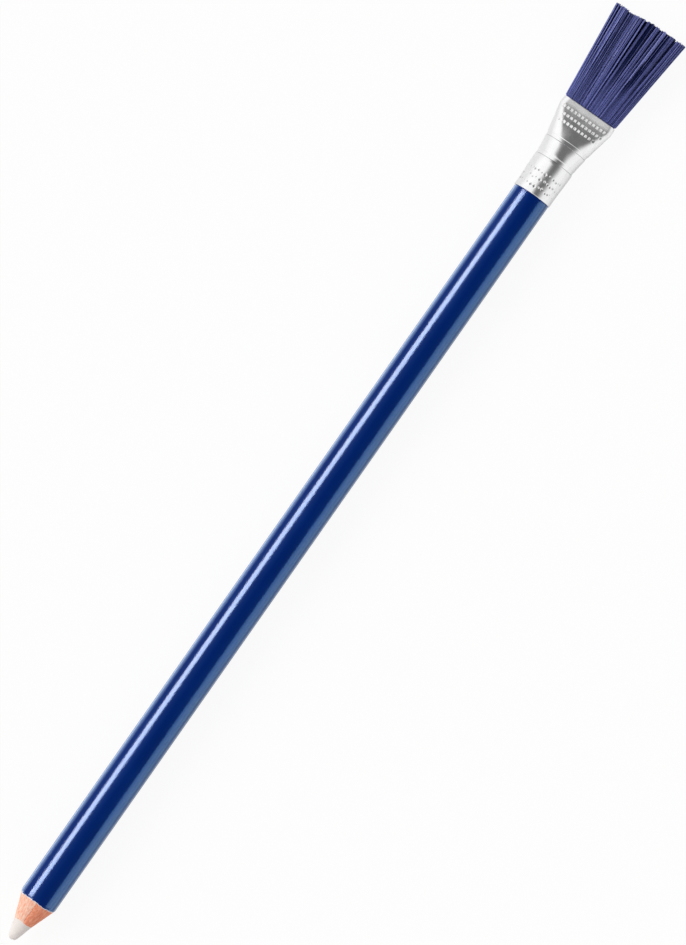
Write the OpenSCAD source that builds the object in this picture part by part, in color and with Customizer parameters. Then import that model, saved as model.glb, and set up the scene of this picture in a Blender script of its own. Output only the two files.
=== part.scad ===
// Eraser pencil with a cleaning brush: two grooved wood slats glued round a rubber core,
// a lacquer coat, and a crimped metal ferrule that holds a flat fan of bristles.
// The pencil lies along X on the plane z = 0, eraser tip at -X and brush at +X.

/* [Pencil] */
// Diameter of the lacquered barrel
barrel_d = 7.5; // [6.6:0.1:9]
// Length from the eraser's tip to the end of the wood inside the ferrule
pencil_l = 176; // [90:1:200]
// Thickness of the lacquer
lacquer_t = 0.16; // [0.06:0.01:0.3]
// Turn of the slats' glued joint from the brush's thickness direction
seam_turn = 3; // [0:1:90]

/* [Eraser core] */
// Diameter of the rubber core
core_d = 3.8; // [2.6:0.1:4.8]
// Length of rubber that stands out of the sharpened wood
core_exposed = 4; // [2.6:0.1:7]
// Radius of the rounded tip
tip_r = 1; // [0.4:0.05:1.2]

/* [Sharpened cone] */
// Included angle of the sharpened wood
cone_angle = 40.5; // [24:0.5:60]

/* [Ferrule] */
// Length of the ferrule
ferrule_l = 18.9; // [16.5:0.1:26]
// Thickness of the metal sheet
sheet_t = 0.3; // [0.15:0.01:0.35]
// Depth by which the wood is turned down for the ferrule
shoulder_step = 0.02; // [0.01:0.01:0.4]
// Radial clearance of glued and crimped fits
fit_gap = 0.03; // [0.01:0.01:0.06]
// Radial swell of the tube beyond its crimped end
tube_swell = 0.15; // [0.05:0.01:0.3]
// Length of the crimped end
crimp_l = 4.6; // [3.6:0.1:5.5]
// Length over which the crimp runs out into the round tube
crimp_runout = 0.8; // [0.2:0.1:1.2]
// Depth of the socket for the wood, up to the neck groove
socket_l = 7.3; // [7:0.1:8.5]
// Width of a rolled groove
groove_w = 0.65; // [0.5:0.05:1.2]
// Depth of a rolled groove
groove_depth = 0.1; // [0.05:0.01:0.2]
// Distance from the neck groove to the second groove
groove_pitch = 3.75; // [2.5:0.05:5]
// Thickness to which the mouth is flattened, outside
mouth_t = 2.6; // [1.6:0.1:4]
// Length of the lip at the mouth
lip_l = 1.5; // [0.8:0.1:2.5]
// How far each face of the lip springs open again at the mouth
lip_spring = 0.1; // [0:0.01:0.2]

/* [Crimp marks] */
// Rows of square marks on each flat face
mark_rows = 3; // [1:1:4]
// Distance from the mouth to the first row
mark_inset = 1.8; // [1:0.1:3]
// Distance between rows
mark_row_pitch = 1.25; // [0.9:0.05:1.6]
// Distance between marks in a row
mark_pitch = 0.82; // [0.6:0.02:1.2]
// Width of a mark
mark_w = 0.46; // [0.25:0.01:0.55]
// Length of a mark along the pencil
mark_l = 0.6; // [0.3:0.05:0.8]
// Depth of a mark
mark_depth = 0.1; // [0.04:0.01:0.13]
// Rows of prick marks that stake the ferrule to the wood
prick_rows = 3; // [1:1:4]
// Prick marks in a row
prick_count = 18; // [6:1:24]
// Distance from the ferrule's lower edge to the first row of prick marks
prick_inset = 1.6; // [0.8:0.1:2]
// Distance between rows of prick marks
prick_pitch = 1.1; // [0.7:0.05:1.2]
// Width of a prick mark
prick_w = 0.4; // [0.2:0.02:0.6]
// Depth of a prick mark
prick_depth = 0.1; // [0.04:0.01:0.13]

/* [Brush] */
// Free length of the bristles
brush_l = 20.1; // [10:0.1:30]
// Width of the fan at the bristles' ends
brush_w = 15.5; // [12:0.1:20]
// Thickness of the fan at the bristles' ends
brush_t = 4.2; // [2.4:0.1:6]
// Bristles across the width
strand_columns = 48; // [30:1:56]
// Bristles across the thickness
strand_rows = 8; // [5:1:8]
// Width of a bristle at its free end
strand_w = 0.16; // [0.08:0.01:0.2]
// Share of the root's pitch that a bristle fills
strand_share = 0.68; // [0.4:0.02:0.8]
// Neighbouring bristles across the width that gather in a clump
clump_columns = 3; // [1:1:8]
// Share by which a clump's free ends draw together
clump_draw = 0.28; // [0:0.02:0.4]
// How far the bound roots sit below the mouth
root_recess = 0.1; // [0.05:0.05:0.5]
// Most that a bristle is cut short of the full length
ragged = 0.7; // [0:0.1:1.5]

/* [Hidden] */
$fn = 96;
// Steps of the arc that rounds the eraser's tip
TIP_STEPS = 10;
// Columns of a lofted section; an even count, so that no point falls on the flat's ends
LOFT_COLUMNS = 64;
// Seed of the bristles' uneven ends
RAG_SEED = 7;

barrel_r = barrel_d / 2;
wood_r = barrel_r - lacquer_t;
core_r = core_d / 2;
tenon_r = wood_r - shoulder_step;

// Distances along the pencil, from the eraser's tip
lacquer_z = cone_z(barrel_r);
shoulder_z = pencil_l - socket_l;
mouth_z = shoulder_z + ferrule_l;
overall_l = mouth_z + brush_l;

// The ferrule is drawn from one round tube, so its sections share one perimeter
crimp_r = tenon_r + fit_gap + sheet_t;
tube_r = crimp_r + tube_swell;
tube_perimeter = 2 * PI * tube_r;
neck_end = socket_l + groove_w;
second_groove = socket_l + groove_pitch;
lip_z = ferrule_l - lip_l;
// Levels at which the ferrule's form changes, from its lower edge
groove_steps = [0, groove_w / 3, groove_w * 2 / 3, groove_w];
socket_levels = [0, crimp_l, crimp_l + crimp_runout];
flare_levels = concat([for (s = groove_steps) socket_l + s],
                      [for (s = groove_steps) second_groove + s], [lip_z]);
sleeve_levels = concat(socket_levels, flare_levels, [ferrule_l]);

// Room for the bristles' roots inside the lip: half its thickness and half its flats
root_b = half_thickness(lip_z) - sheet_t - fit_gap;
root_f = half_flat(ferrule_l);

// Where the sharpened cone has a given radius
function cone_z(r) = core_exposed + (r - core_r) / tan(cone_angle / 2);

// Share of the way from the round neck to the flattened mouth
function flare(level) = min(1, max(0, (level - neck_end) / (lip_z - neck_end)));
// Half the ferrule's thickness and half its width, without grooves and crimp
function half_thickness(level) = tube_r + (mouth_t / 2 - tube_r) * flare(level)
    + lip_spring * max(0, level - lip_z) / lip_l;
function half_width(level) =
    half_thickness(level) + (tube_perimeter - 2 * PI * half_thickness(level)) / 4;
// Half the flat on each face
function half_flat(level) = half_width(level) - half_thickness(level);
// How far a groove that starts at a level draws the sheet in
function groove_draw(level, start) =
    level > start + groove_w / 6 && level < start + groove_w * 5 / 6 ? groove_depth : 0;
// How far the sheet is drawn in by the crimp and the grooves
function drawn_in(level) =
    level <= crimp_l ? tube_swell
    : groove_draw(level, socket_l) + groove_draw(level, second_groove);

// A flat oval: two half circles of radius b whose centres stand f either side of the middle
function oval(f, b, z) = [for (i = [0 : LOFT_COLUMNS - 1])
    let (t = (i + 0.5) * 360 / LOFT_COLUMNS) [sign(cos(t)) * f + b * cos(t), b * sin(t), z]];
// The ferrule's section at a level, with its sheet's surface moved in by an inset
function sleeve_ring(level, inset) =
    oval(half_flat(level), half_thickness(level) - drawn_in(level) - inset, shoulder_z + level);

function flat_list(lists) = [for (l = lists) each l];
// Two triangles for each cell between neighbouring rings
function band_faces(k0, k1, n) = [for (i = [0 : n - 1]) let (j = (i + 1) % n)
    each [[k0 * n + i, k1 * n + i, k1 * n + j], [k0 * n + i, k1 * n + j, k0 * n + j]]];

// A closed skin through rings that lead back to the first
module loft_tube(rings) {
    count = len(rings);
    polyhedron(flat_list(rings),
               [for (k = [0 : count - 1]) each band_faces(k, (k + 1) % count, len(rings[0]))]);
}

// A solid through rings, closed by a flat face at each end
module loft_solid(rings) {
    n = len(rings[0]);
    last = len(rings) - 1;
    polyhedron(flat_list(rings),
               concat([[for (i = [0 : n - 1]) i]],
                      [for (k = [0 : last - 1]) each band_faces(k, k + 1, n)],
                      [[for (i = [n - 1 : -1 : 0]) last * n + i]]));
}

// Lays a piece that is drawn along +Z, brush width along X, down on the plane
module lying() {
    translate([-overall_l / 2, 0, tube_r]) rotate([90, 0, 90]) children();
}

// Half of the grooved wood casing, with its sharpened end and the tenon in the ferrule
module casing_slat(turn) {
    profile = [[core_r, core_exposed], [wood_r, cone_z(wood_r)], [wood_r, shoulder_z],
               [tenon_r, shoulder_z], [tenon_r, pencil_l], [core_r, pencil_l]];
    rotate(90 + seam_turn + turn) rotate_extrude(angle = 180) polygon(profile);
}

module casing_slat_left() {
    color([0.91, 0.69, 0.53]) lying() casing_slat(180);
}

module casing_slat_right() {
    color([0.88, 0.64, 0.48]) lying() casing_slat(0);
}

// Rubber rod, sharpened to a rounded tip whose arc meets the cone in a tangent
module eraser_core() {
    reach = norm([core_r, core_exposed - tip_r]);
    slope = atan2(core_r, core_exposed - tip_r) - asin(tip_r / reach);
    turn = acos(sin(slope));
    tip_arc = [for (i = [0 : TIP_STEPS]) let (t = turn * i / TIP_STEPS)
               [tip_r * sin(t), tip_r - tip_r * cos(t)]];
    color([0.93, 0.91, 0.89]) lying() rotate_extrude()
        polygon(concat(tip_arc, [[core_r, core_exposed], [core_r, pencil_l], [0, pencil_l]]));
}

// Skin of lacquer, cut off by the sharpened cone and ending at the ferrule
module lacquer_coat() {
    color([0.02, 0.14, 0.42]) lying() rotate_extrude()
        polygon([[wood_r, cone_z(wood_r)], [barrel_r, lacquer_z],
                 [barrel_r, shoulder_z], [wood_r, shoulder_z]]);
}

// Places a child on a flat face of the ferrule, at a distance from the middle, along the face's normal
module on_face(x, level) {
    b = half_thickness(level);
    lean = asin(max(0, abs(x) - half_flat(level)) / b) * sign(x);
    tilt = level > lip_z ? 0 : atan((tube_r - mouth_t / 2) / (lip_z - neck_end));
    translate([x, b * cos(lean), shoulder_z + level]) rotate(-lean) rotate([tilt, 0, 0]) children();
}

// Rows of square marks pressed into both faces by the jaws that flatten the mouth
module crimp_marks() {
    for (row = [0 : mark_rows - 1]) {
        level = ferrule_l - mark_inset - row * mark_row_pitch;
        side = floor((half_width(level) - mark_w) / mark_pitch);
        for (face = [0, 180], column = [-side : side])
            rotate(face) on_face(column * mark_pitch, level)
                cube([mark_w, 2 * mark_depth, mark_l], center = true);
    }
}

// Staggered rows of prick marks round the crimped end
module prick_marks() {
    step = 360 / prick_count;
    for (row = [0 : prick_rows - 1], i = [0 : prick_count - 1])
        rotate((i + 0.5 * (row % 2)) * step)
            translate([crimp_r, 0, shoulder_z + prick_inset + row * prick_pitch])
                rotate([45, 0, 0]) cube([2 * prick_depth, prick_w, prick_w], center = true);
}

// Round tube, crimped on the wood, necked, grooved and flattened to a wide mouth
module ferrule() {
    levels = len(sleeve_levels);
    outside = [for (level = sleeve_levels) sleeve_ring(level, 0)];
    inside = [for (k = [levels - 1 : -1 : 0]) sleeve_ring(sleeve_levels[k], sheet_t)];
    color([0.83, 0.84, 0.85]) lying() difference() {
        loft_tube(concat(outside, inside));
        crimp_marks();
        prick_marks();
    }
}

// Set resin that fills the ferrule between the wood and the bound roots
module adhesive_plug() {
    color([0.80, 0.66, 0.38]) lying()
        loft_solid([for (level = flare_levels) sleeve_ring(level, sheet_t + fit_gap)]);
}

// Half the width of a flat oval at a share v of its half thickness b, with flats of half length f
function oval_reach(f, b, v) = f + b * sqrt(max(0, 1 - v * v));

// Bristles, bound at their roots into a slice that fills the ferrule's lip.
// The slice's top is a grid whose alternate cells rise into bristles.
module bristle_tuft() {
    lines_u = 2 * strand_columns + 2;
    lines_v = 2 * strand_rows + 2;
    root_top = mouth_z - root_recess;
    root_bottom = shoulder_z + lip_z;
    tip_b = (brush_t - strand_w) / 2;
    tip_f = (brush_w - strand_w) / 2 - tip_b;
    rag = rands(0, ragged, strand_columns * strand_rows, RAG_SEED);

    // A bristle's centre, and the grid lines either side of each bristle, from -1 to 1
    function centre(i, n) = (2 * i + 1) / n - 1;
    function line(p, n) = p == 0 ? -1 : p == 2 * n + 1 ? 1
        : centre(floor((p - 1) / 2), n) + (p % 2 == 1 ? -1 : 1) * strand_share / n;
    function root_point(u, v, z) = [u * oval_reach(root_f, root_b, v), v * root_b, z];
    // A column's place once its clump has drawn together
    function gathered(i) =
        let (first = i - i % clump_columns, last = min(first + clump_columns, strand_columns) - 1)
        i + clump_draw * ((first + last) / 2 - i);
    // A bristle's place at its free end, with the outermost row and column at the fan's edge
    function spread(x, low, high) = 2 * (x - low) / (high - low) - 1;
    function tip_point(i, j) =
        let (u = spread(gathered(i), gathered(0), gathered(strand_columns - 1)),
             v = spread(j, 0, strand_rows - 1), edge = i == 0 || i == strand_columns - 1)
        [u * oval_reach(tip_f, tip_b, v), v * tip_b,
         overall_l - (edge ? 0 : rag[i * strand_rows + j])];

    // The bound slice's top, the bristles' free ends and the rim of the slice's bottom
    top = [for (p = [0 : lines_u - 1], q = [0 : lines_v - 1])
           root_point(line(p, strand_columns), line(q, strand_rows), root_top)];
    corners = [[-1, -1], [-1, 1], [1, 1], [1, -1]] * (strand_w / 2);
    sides = len(corners);
    tips = [for (i = [0 : strand_columns - 1], j = [0 : strand_rows - 1], c = corners)
            tip_point(i, j) + [c[0], c[1], 0]];
    function at(p, q) = p * lines_v + q;
    rim = concat([for (q = [0 : lines_v - 2]) at(0, q)],
                 [for (p = [0 : lines_u - 2]) at(p, lines_v - 1)],
                 [for (q = [lines_v - 1 : -1 : 1]) at(lines_u - 1, q)],
                 [for (p = [lines_u - 1 : -1 : 1]) at(p, 0)]);
    bottom = [for (k = rim) [top[k][0], top[k][1], root_bottom]];

    first_tip = len(top);
    first_bottom = first_tip + len(tips);
    rim_n = len(rim);
    function cell(p, q) = [at(p, q), at(p, q + 1), at(p + 1, q + 1), at(p + 1, q)];
    function two(a, b, c, d) = [[a, b, c], [a, c, d]];
    ground = [for (p = [0 : lines_u - 2], q = [0 : lines_v - 2]) if (p % 2 == 0 || q % 2 == 0)
              let (s = cell(p, q)) each two(s[0], s[1], s[2], s[3])];
    strands = [for (i = [0 : strand_columns - 1], j = [0 : strand_rows - 1])
               let (s = cell(2 * i + 1, 2 * j + 1), t = first_tip + sides * (i * strand_rows + j))
               each concat([for (k = [0 : sides - 1]) let (m = (k + 1) % sides)
                            each two(s[k], s[m], t + m, t + k)],
                           two(t, t + 1, t + 2, t + 3))];
    walls = [for (k = [0 : rim_n - 1]) let (m = (k + 1) % rim_n)
             each two(rim[k], first_bottom + k, first_bottom + m, rim[m])];
    hub = first_bottom + rim_n;
    base = [for (k = [0 : rim_n - 1]) [hub, first_bottom + (k + 1) % rim_n, first_bottom + k]];
    color([0.16, 0.16, 0.42]) lying()
        polyhedron(concat(top, tips, bottom, [[0, 0, root_bottom]]),
                   concat(ground, strands, walls, base));
}

casing_slat_left();
casing_slat_right();
eraser_core();
lacquer_coat();
ferrule();
adhesive_plug();
bristle_tuft();
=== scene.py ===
"""Looks of the eraser pencil: rubber tip, sharpened wood, lacquer, metal ferrule and brush."""
import math

import bpy
import numpy as np
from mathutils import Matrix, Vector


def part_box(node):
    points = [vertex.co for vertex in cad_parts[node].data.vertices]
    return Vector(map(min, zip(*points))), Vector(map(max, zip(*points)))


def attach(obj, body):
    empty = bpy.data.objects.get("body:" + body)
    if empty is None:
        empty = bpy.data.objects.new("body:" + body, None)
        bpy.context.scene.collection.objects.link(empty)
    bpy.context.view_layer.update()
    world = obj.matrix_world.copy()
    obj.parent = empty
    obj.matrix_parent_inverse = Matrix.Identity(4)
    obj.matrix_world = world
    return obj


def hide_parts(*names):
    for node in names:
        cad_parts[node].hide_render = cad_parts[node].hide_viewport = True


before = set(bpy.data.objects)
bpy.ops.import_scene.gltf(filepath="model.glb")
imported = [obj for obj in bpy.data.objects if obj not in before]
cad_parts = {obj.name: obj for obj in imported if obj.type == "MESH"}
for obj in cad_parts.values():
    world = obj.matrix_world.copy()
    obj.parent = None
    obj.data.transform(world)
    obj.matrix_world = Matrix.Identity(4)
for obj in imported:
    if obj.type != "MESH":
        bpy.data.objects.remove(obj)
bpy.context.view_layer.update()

MM = 0.001


def half_extent(node, axis):
    """Half of a CAD node's size along an axis."""
    low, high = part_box(node)
    return (high[axis] - low[axis]) / 2


# Sizes and places from the frame; the pencil lies along X, eraser tip at -X
tip_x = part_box("eraser_core")[0].x
pencil_end_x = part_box("eraser_core")[1].x
wood_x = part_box("casing_slat_left")[0].x
lacquer_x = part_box("lacquer_coat")[0].x
shoulder_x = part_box("ferrule")[0].x
mouth_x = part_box("ferrule")[1].x
root_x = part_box("bristle_tuft")[0].x
brush_end_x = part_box("bristle_tuft")[1].x
core_r = half_extent("eraser_core", 1)
barrel_r = half_extent("lacquer_coat", 1)
wood_r = max(abs(corner.y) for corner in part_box("casing_slat_left"))
tube_r = half_extent("ferrule", 2)
mouth_half_width = half_extent("ferrule", 1)
fan_half_width = half_extent("bristle_tuft", 1)
fan_half_thickness = half_extent("bristle_tuft", 2)
axis_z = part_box("ferrule")[0].z + tube_r
cone_slope = (wood_r - core_r) / (lacquer_x - wood_x)

# Eraser tip: radius of the round end, angle of its first ring, and counts of rings and columns
TIP_RADIUS = 1.0 * MM
TIP_START = 0.03
TIP_STATIONS = 26
TAPER_STATIONS = 40
TIP_COLUMNS = 160
# Wear of the tip: its depth, how far it reaches, where it fades in, and its unevenness.
# A ripple is a share, a count round the pencil, a start and a twist per metre along it.
TIP_WEAR = 0.05 * MM
WEAR_REACH = 1.4 * MM
WEAR_FADE_RADIUS = 0.5 * MM
WEAR_UNEVENNESS = 0.6
WEAR_RIPPLES = ((1, 2, 0.7, 0), (0.7, 5, 0, 2600), (0.5, 9, -1.3, 0))
# Chips in the round end: turn about the axis and angle from the tip in degrees, width, depth,
# and how many times as tall as wide
TIP_CHIPS = ((-82, 56, 0.6 * MM, 0.14 * MM, 1), (-90, 19, 0.48 * MM, 0.48 * MM, 4),
             (-28, 52, 0.5 * MM, 0.15 * MM, 1), (64, 55, 0.44 * MM, 0.1 * MM, 1),
             (172, 40, 0.55 * MM, 0.14 * MM, 1))

# Sharpened wood: pale and deep colours of the slats, their joint, and the sharpener's uneven cut
LEFT_WOOD = ((1.0, 0.72, 0.57), (0.95, 0.43, 0.29))
RIGHT_WOOD = ((1.0, 0.46, 0.3), (0.82, 0.25, 0.135))
SEAM_TURN = math.radians(3)
SEAM_DEPTH = 0.14 * MM
SEAM_WIDTH = 0.1 * MM
CUT_WAVE = 0.1 * MM
CUT_RIPPLES = ((0.6, 3, 1.1, 0), (0.4, 5, 0.3, 0), (0.25, 9, 2, 0), (0.3, 17, 0.8, 0),
               (0.25, 31, 4.1, 0))
# Length beyond the cut's edge over which its waves die out
CUT_RUNOUT = 1 * MM
# Turns of a slat's points beside the joint, and the first turn of its open face, in degrees
SLAT_EDGE = (0, 0.4, 0.9, 1.6, 2.6)
SLAT_FACE = 4
SLAT_COLUMNS = 90
CONE_START = 0.004
CONE_STATIONS = 50
SLAT_STATIONS = 12
# Least radius of a slat's eased edge, for a core's radius of 1
SLAT_LEAST = 1.0005

# Lacquer
LACQUER_EDGE = 0.05 * MM
LACQUER_END = 0.2 * MM
LACQUER_COLUMNS = 256
LACQUER_STATIONS = 60
GROUND_COAT = 0.115 * MM

# Ferrule, with levels from its lower edge
SHEET = 0.3 * MM
CRIMP_LENGTH = 1.5 * MM
CRIMP_RUNOUT = 5 * MM
CRIMP_DEPTH = 0.13 * MM
GROOVE_LEVELS = (7.1 * MM, 10.85 * MM)
GROOVE_WIDTH = 0.95 * MM
GROOVE_DEPTH = 0.09 * MM
GROOVE_EDGE = 0.16 * MM
LIP_LENGTH = 1.5 * MM
LIP_SPRING = 0.2 * MM
FLARE_EASE = 1.3
FOLD = 0.6 * MM
RIM_ROUND = 0.09 * MM
SHEET_WAVE = 0.005 * MM
SHEET_RIPPLES = ((1, 4, 0, 900), (1, 7, 0, -1500), (1, 3, 0, 2300))
# Square marks on the flat faces
MARK_ROWS = 3
MARK_INSET = 1.78 * MM
MARK_ROW_PITCH = 1.29 * MM
MARK_PITCH = 0.817 * MM
MARK_SHIFT = -0.32 * MM
MARK_WIDTH = 0.54 * MM
MARK_LENGTH = 0.6 * MM
MARK_DEPTH = 0.13 * MM
MARK_EDGE = 0.07 * MM
# Prick marks round the socket, shaken about their places and of uneven sizes
PRICK_ROWS = 3
PRICK_COUNT = 31
PRICK_INSET = 1.55 * MM
PRICK_PITCH = 1.36 * MM
PRICK_WIDTH = 0.38 * MM
PRICK_DEPTH = 0.11 * MM
PRICK_STAGGER = 0.5
PRICK_SHAKE_ROUND = 0.25
PRICK_SHAKE_ALONG = 0.2 * MM
PRICK_SIZES = (0.6, 1.3)
# Painted shade along the grooves' lower edges and in the pricks
SHADE_LINE_WIDTH = 0.09 * MM
PRICK_SHADE = 0.7
# Rings of the sleeve: a fine step across marks, counts for the plainer stretches, and the decimals
# that tell one level from another
SLEEVE_COLUMNS = 352
FINE_STEP = 0.06 * MM
PLAIN_RINGS = 6
GROOVE_RINGS = 19
FLARE_RINGS = 36
LIP_RINGS = 10
INNER_RING_EVERY = 12
LEVEL_DECIMALS = 7

# Brush
BRISTLE_COLUMNS = 124
BRISTLE_ROWS = 13
BRISTLE_RADIUS = 0.058 * MM
BRISTLE_SIDES = 6
BRISTLE_STATIONS = 10
ROOT_STATIONS = (0, 0.036, 0.052)
FIRST_FREE_STATION = 0.1
# Places of the roots: every other row stands half a column aside, and all are shaken a little
ROW_STAGGER = 0.5
BRISTLE_JITTER = 0.4
ROOT_LIMIT_ACROSS = 0.99
ROOT_LIMIT_THROUGH = 0.97
# Clumps, and how strongly they draw their bristles together, which fades out at the brush's sides
CLUMP_COLUMNS = 24
CLUMP_ROWS = 2
CLUMP_JITTER = 0.45
CLUMP_PULL = (0.1, 0.3)
PULL_FADE = (0.8, 0.97)
PULL_BEND = 1.7
# Lanes of bristles and the gaps between them
LANE_WIDTH = (0.12 * MM, 0.42 * MM)
LANE_LEAN = 0.05 * MM
GAP_WIDTH = (0.28 * MM, 0.56 * MM)
GAP_DEEPNESS = (0.25, 1)
GAP_SINK = 0.7
GAP_START = (-0.1, 0.4)
GAP_FULL = 0.8
# Ends: cuts that are uneven but for the very sides, and a slow dip towards the photograph's left
CLUMP_RAG = 0.22 * MM
BRISTLE_RAG = 0.2 * MM
RAG_LIMIT = 0.95
LEFT_DIP = 0.5 * MM
DIP_SPAN = (-0.15, 0.6)
# How far a bristle bows along its length, and how far its end stands off
SWAY = 0.015 * MM
SPLAY = 0.018 * MM
# Form of one bristle: its thickness, its taper and the slant of its cut end
THICKNESSES = (0.82, 1.08)
END_TAPER = 0.9
CUT_SLANT = 1.2
# Shades: how much bristles, clumps and lanes differ, painted shade in the gaps, and how much of
# that shows at the roots
BRISTLE_SHADE = 0.2
CLUMP_SHADE = 0.06
LANE_SHADE = 0.2
GAP_PAINTED_SHADE = (-0.8, -0.4)
BRISTLE_ROOT_SHARE = 0.4
LANE_ROOT_SHARE = 0.25
# Bound roots in the mouth
ROOT_RECESS = 0.35 * MM
ROOT_DEPTH = 0.4 * MM
ROOT_EDGE = 0.1 * MM
ROOT_COLUMNS = 96
BULGE = 0.25 * MM
FIT_GAP = 0.03 * MM
SEED = 11

ferrule_length = mouth_x - shoulder_x
lip_level = ferrule_length - LIP_LENGTH
marks_low = ferrule_length - MARK_INSET - MARK_ROWS * MARK_ROW_PITCH
neck_end = GROOVE_LEVELS[0] + GROOVE_WIDTH
# The ferrule is drawn from one tube, so the mouth's thickness follows from its width
tube_perimeter = 2 * math.pi * tube_r
mouth_b = (tube_perimeter - 4 * mouth_half_width) / (2 * math.pi - 4)


# Mesh helpers


def around(x, radius, turn):
    """Points round the pencil's axis; a turn is from straight up towards +Y."""
    x, radius, turn = np.broadcast_arrays(x, radius, turn)
    return np.stack([x, radius * np.sin(turn), axis_z + radius * np.cos(turn)], axis=-1)


def turns(count):
    """Even turns of a closed ring."""
    return np.arange(count) * 2 * math.pi / count


def ripples(waves, turn, along=0.0):
    """Sum of waves round the pencil, at a distance along it."""
    return sum(share * np.sin(count * turn + start + twist * along)
               for share, count, start, twist in waves)


def smooth_step(x, low, high):
    """0 below low, 1 above high, and a smooth ramp between them."""
    t = np.clip((x - low) / (high - low), 0, 1)
    return t * t * (3 - 2 * t)


def soft_rise(x, reach):
    """0 below zero and x above it, with the corner rounded over a reach either side."""
    return np.where(np.abs(x) < reach, (x + reach) ** 2 / (4 * reach), np.maximum(x, 0))


def dent(distance, half_width):
    """1 at a dent's middle, falling smoothly to 0 at its half width."""
    return 0.5 + 0.5 * np.cos(math.pi * np.clip(distance / half_width, -1, 1))


def ring_faces(ring_count, size, closed_path):
    """Quads between neighbouring rings; a closed path leads back to the first ring."""
    k = np.arange(ring_count if closed_path else ring_count - 1)[:, None]
    i = np.arange(size)[None, :]
    here = k * size
    ahead = (k + 1) % ring_count * size
    j = (i + 1) % size
    return np.stack([here + i, here + j, ahead + j, ahead + i], axis=-1).reshape(-1, 4).tolist()


def capped_faces(ring_count, size):
    """Quads between neighbouring rings, with a face over the first and the last ring."""
    ring = np.arange(size)
    last = (ring_count - 1) * size
    return [*ring_faces(ring_count, size, False), ring[::-1].tolist(), (last + ring).tolist()]


def add_piece(name, points, faces, material, node, crease=40):
    """A shaded piece on the pencil that stands for a CAD node."""
    mesh = bpy.data.meshes.new(name)
    mesh.from_pydata(np.asarray(points).reshape(-1, 3).tolist(), [], faces)
    mesh.materials.append(material)
    mesh.polygons.foreach_set("use_smooth", np.ones(len(mesh.polygons), bool))
    mesh.set_sharp_from_angle(angle=math.radians(crease))
    mesh.validate()
    piece = bpy.data.objects.new(name, mesh)
    bpy.context.scene.collection.objects.link(piece)
    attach(piece, "root")
    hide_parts(node)
    return piece


def mark_points(piece, name, values):
    """A value for each point of a piece, for its material."""
    attribute = piece.data.attributes.new(name, "FLOAT", "POINT")
    attribute.data.foreach_set("value", np.asarray(values, np.float32).ravel())


# Material helpers

NOISE_ROUGHNESS = 0.55


class Nodes:
    """A node tree, with short calls for its nodes and links."""

    def __init__(self, tree):
        self.tree = tree

    def put(self, socket, value):
        """A value or another node's output goes into a socket."""
        if isinstance(value, bpy.types.NodeSocket):
            self.tree.links.new(value, socket)
        else:
            socket.default_value = value

    def node(self, kind, inputs=None, **settings):
        """A new node with its settings and inputs."""
        made = self.tree.nodes.new(kind)
        for key, value in settings.items():
            setattr(made, key, value)
        for key, value in (inputs or {}).items():
            self.put(made.inputs[key], value)
        return made

    def ramp(self, factor, *stops):
        """A colour or grey that follows a factor through stops of (position, value)."""
        made = self.node("ShaderNodeValToRGB", {"Fac": factor})
        points = made.color_ramp.elements
        while len(points) < len(stops):
            points.new(0.5)
        for point, (position, value) in zip(points, stops):
            point.position = position
            point.color = (*(value if isinstance(value, tuple) else (value,) * 3), 1.0)
        return made.outputs["Color"]

    def calculate(self, operation, first, second=0.0):
        """Arithmetic on one or two values."""
        return self.node("ShaderNodeMath", {0: first, 1: second}, operation=operation).outputs[0]

    def blend(self, factor, first, second):
        """A blend of two surfaces or backgrounds."""
        return self.node("ShaderNodeMixShader", {0: factor, 1: first, 2: second}).outputs[0]


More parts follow.
